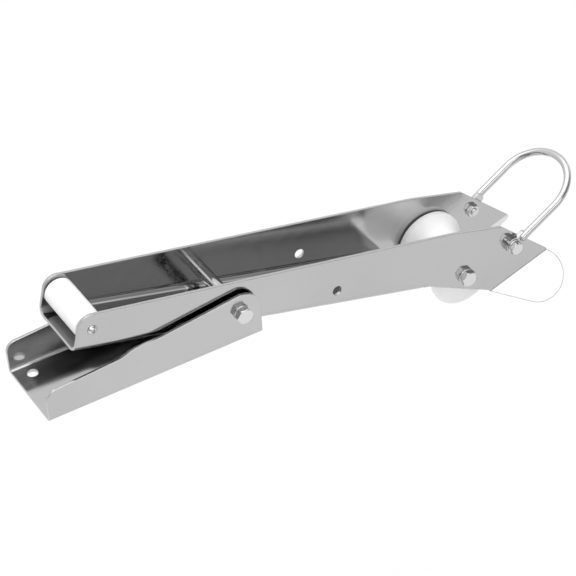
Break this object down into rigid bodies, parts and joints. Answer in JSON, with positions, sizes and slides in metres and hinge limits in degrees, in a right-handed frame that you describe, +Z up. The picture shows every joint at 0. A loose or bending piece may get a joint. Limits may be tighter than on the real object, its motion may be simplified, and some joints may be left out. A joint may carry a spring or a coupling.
{
  "type": "hinged bow roller",
  "caption": "Stainless bow roller: a fixed deck channel carries a long tilting channel with a small rear roller, a large nose roller, flared ears and a bent-rod hoop.",
  "frame": {"origin": "on the mounting channel's underside, at the centre of its four deck holes", "axes": "+X towards the nose roller, +Y across the channels, +Z up from the deck"},
  "size_m": [0.6268, 0.1284, 0.2021],
  "materials": {
    "channel_steel": "polished",
    "rod_steel": "polished",
    "fastener_steel": "bright",
    "white_nylon": "smooth satin"
  },
  "bodies": {
    "base": {"mounting_channel": "channel_steel", "pivot_bolt": "fastener_steel", "pivot_washers": "fastener_steel", "pivot_nut": "fastener_steel", "pivot_gap_spacers": "fastener_steel"},
    "channel": {"roller_channel": "channel_steel", "pivot_sleeve": "rod_steel", "rear_roller_axle": "rod_steel", "rear_axle_screws": "fastener_steel", "rear_thrust_washers": "fastener_steel", "front_roller_bolt": "fastener_steel", "front_roller_washers": "fastener_steel", "front_roller_nut": "fastener_steel", "front_roller_sleeve": "rod_steel", "front_roller_spacers": "fastener_steel", "hoop_bolts": "fastener_steel", "hoop_washers": "fastener_steel", "hoop_nuts": "fastener_steel"},
    "rear_roller": {"rear_roller": "white_nylon"},
    "front_roller": {"front_roller": "white_nylon"},
    "hoop": {"hoop": "rod_steel"}
  },
  "joints": [
    {"name": "channel_tilt", "type": "hinge", "parent": "base", "child": "channel", "pos_m": [0.12, 0, 0.0355], "axis": [0, 1, 0], "range_deg": [-18, 8]},
    {"name": "rear_roller_spin", "type": "hinge", "parent": "channel", "child": "rear_roller", "pos_m": [-0.03378, 0, 0.08209], "axis": [0, 1, 0], "continuous": true},
    {"name": "front_roller_spin", "type": "hinge", "parent": "channel", "child": "front_roller", "pos_m": [0.38664, 0, -0.04505], "axis": [0, 1, 0], "continuous": true},
    {"name": "hoop_swing", "type": "hinge", "parent": "channel", "child": "hoop", "pos_m": [0.44384, 0, -0.0286], "axis": [0, 1, 0], "range_deg": [-90, 40]}
  ]
}
